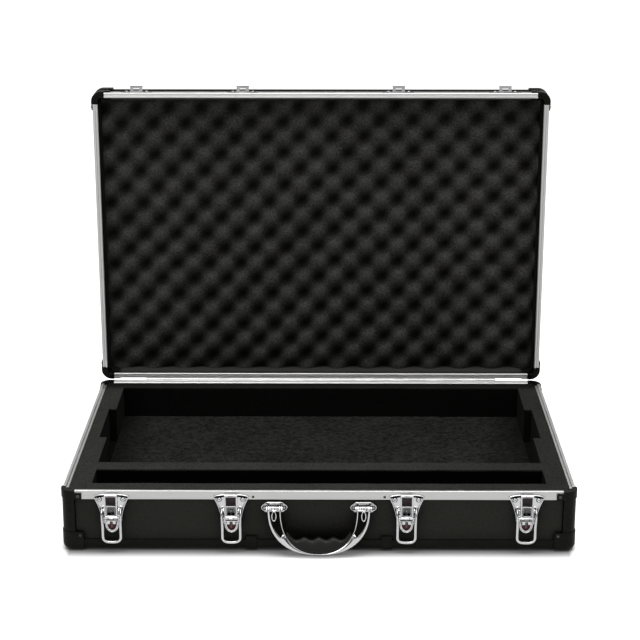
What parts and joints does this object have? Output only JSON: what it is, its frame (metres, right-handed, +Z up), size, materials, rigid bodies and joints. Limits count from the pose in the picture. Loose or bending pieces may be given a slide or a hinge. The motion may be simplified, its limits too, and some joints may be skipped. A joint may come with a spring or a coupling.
{
  "type": "pedalboard flight case",
  "caption": "Hard case for a pedalboard: black panels in an aluminium frame, hinged lid with egg-crate foam, foam base with a lift-out carpeted board, draw latches, drop handle.",
  "frame": {"origin": "on the floor plane the feet stand on, under the middle of the whole case's box as it stands open (handle hanging, lid at 90 degrees); that is 9.2 mm behind the base's own centre", "axes": "+X along the width to the right as seen from the front, +Y from the front (latches) to the hinge, +Z up"},
  "size_m": [0.6718, 0.5108, 0.5331],
  "materials": {
    "panel_black": "satin",
    "frame_aluminium": "satin",
    "hinge_aluminium": "satin",
    "corner_plastic": "satin",
    "dark_steel": "satin",
    "steel": "satin",
    "chrome": "polished",
    "foam_black": "matte",
    "lining_black": "matte",
    "loop_carpet": "matte",
    "board_wood": "matte",
    "grip_plastic": "satin"
  },
  "bodies": {
    "base": {"base_front_panel": "panel_black", "base_rear_panel": "panel_black", "base_left_panel": "panel_black", "base_right_panel": "panel_black", "base_bottom_panel": "panel_black", "base_front_frame": "frame_aluminium", "base_rear_frame": "frame_aluminium", "base_left_frame": "frame_aluminium", "base_right_frame": "frame_aluminium", "base_frame_corners": "corner_plastic", "base_corner_posts": "corner_plastic", "base_edge_trims": "corner_plastic", "base_corner_caps": "corner_plastic", "base_edge_pads": "corner_plastic", "base_frame_screws": "dark_steel", "base_cap_rivets": "dark_steel", "base_foam_insert": "foam_black", "latch_plates": "chrome", "latch_plate_rivets": "chrome", "latch_pivot_pins": "chrome", "latch_springs": "steel", "handle_brackets": "chrome", "handle_screws": "steel", "handle_pins": "steel", "hinge_base_leaf": "hinge_aluminium", "hinge_pin": "steel", "hinge_base_rivets": "hinge_aluminium", "hinge_stop_brackets": "dark_steel"},
    "lid": {"lid_top_panel": "panel_black", "lid_front_panel": "panel_black", "lid_rear_panel": "panel_black", "lid_left_panel": "panel_black", "lid_right_panel": "panel_black", "lid_front_frame": "frame_aluminium", "lid_rear_frame": "frame_aluminium", "lid_left_frame": "frame_aluminium", "lid_right_frame": "frame_aluminium", "lid_frame_corners": "corner_plastic", "lid_corner_posts": "corner_plastic", "lid_edge_trims": "corner_plastic", "lid_corner_caps": "corner_plastic", "lid_side_lining": "lining_black", "lid_egg_crate_foam": "foam_black", "lid_strikes": "chrome", "lid_strike_rivets": "chrome", "lid_frame_screws": "dark_steel", "lid_cap_rivets": "dark_steel", "hinge_lid_leaf": "hinge_aluminium"},
    "handle": {"handle_frame": "chrome", "handle_grip": "grip_plastic"},
    "board": {"pedal_board_panel": "board_wood", "pedal_board_carpet": "loop_carpet"},
    "lever_1": {"latch_lever_1": "chrome"},
    "link_1": {"latch_link_1": "chrome"},
    "lever_2": {"latch_lever_2": "chrome"},
    "link_2": {"latch_link_2": "chrome"},
    "lever_3": {"latch_lever_3": "chrome"},
    "link_3": {"latch_link_3": "chrome"},
    "lever_4": {"latch_lever_4": "chrome"},
    "link_4": {"latch_link_4": "chrome"}
  },
  "joints": [
    {"name": "lid_hinge", "type": "hinge", "parent": "base", "child": "lid", "pos_m": [0, 0.21219, 0.0837], "axis": [-1, 0, 0], "range_deg": [-90, 0]},
    {"name": "handle_swing", "type": "hinge", "parent": "base", "child": "handle", "pos_m": [0, -0.23421, 0.0605], "axis": [-1, 0, 0], "range_deg": [-10, 140]},
    {"name": "board_lift", "type": "slide", "parent": "base", "child": "board", "axis": [0, 0, 1], "range_m": [0, 0.06]},
    {"name": "lever_1_turn", "type": "hinge", "parent": "base", "child": "lever_1", "pos_m": [-0.2685, -0.23271, 0.0575], "axis": [-1, 0, 0], "range_deg": [0, 110]},
    {"name": "link_1_turn", "type": "hinge", "parent": "lever_1", "child": "link_1", "pos_m": [-0.2685, -0.23621, 0.0485], "axis": [-1, 0, 0], "range_deg": [-98, 0]},
    {"name": "lever_2_turn", "type": "hinge", "parent": "base", "child": "lever_2", "pos_m": [-0.1135, -0.23271, 0.0575], "axis": [-1, 0, 0], "range_deg": [0, 110]},
    {"name": "link_2_turn", "type": "hinge", "parent": "lever_2", "child": "link_2", "pos_m": [-0.1135, -0.23621, 0.0485], "axis": [-1, 0, 0], "range_deg": [-98, 0]},
    {"name": "lever_3_turn", "type": "hinge", "parent": "base", "child": "lever_3", "pos_m": [0.1135, -0.23271, 0.0575], "axis": [-1, 0, 0], "range_deg": [0, 110]},
    {"name": "link_3_turn", "type": "hinge", "parent": "lever_3", "child": "link_3", "pos_m": [0.1135, -0.23621, 0.0485], "axis": [-1, 0, 0], "range_deg": [-98, 0]},
    {"name": "lever_4_turn", "type": "hinge", "parent": "base", "child": "lever_4", "pos_m": [0.2685, -0.23271, 0.0575], "axis": [-1, 0, 0], "range_deg": [0, 110]},
    {"name": "link_4_turn", "type": "hinge", "parent": "lever_4", "child": "link_4", "pos_m": [0.2685, -0.23621, 0.0485], "axis": [-1, 0, 0], "range_deg": [-98, 0]}
  ],
  "couplings": [
    {"joint": "link_1_turn", "follows": "lever_1_turn", "ratio": -0.88},
    {"joint": "link_2_turn", "follows": "lever_2_turn", "ratio": -0.88},
    {"joint": "link_3_turn", "follows": "lever_3_turn", "ratio": -0.88},
    {"joint": "link_4_turn", "follows": "lever_4_turn", "ratio": -0.88}
  ]
}
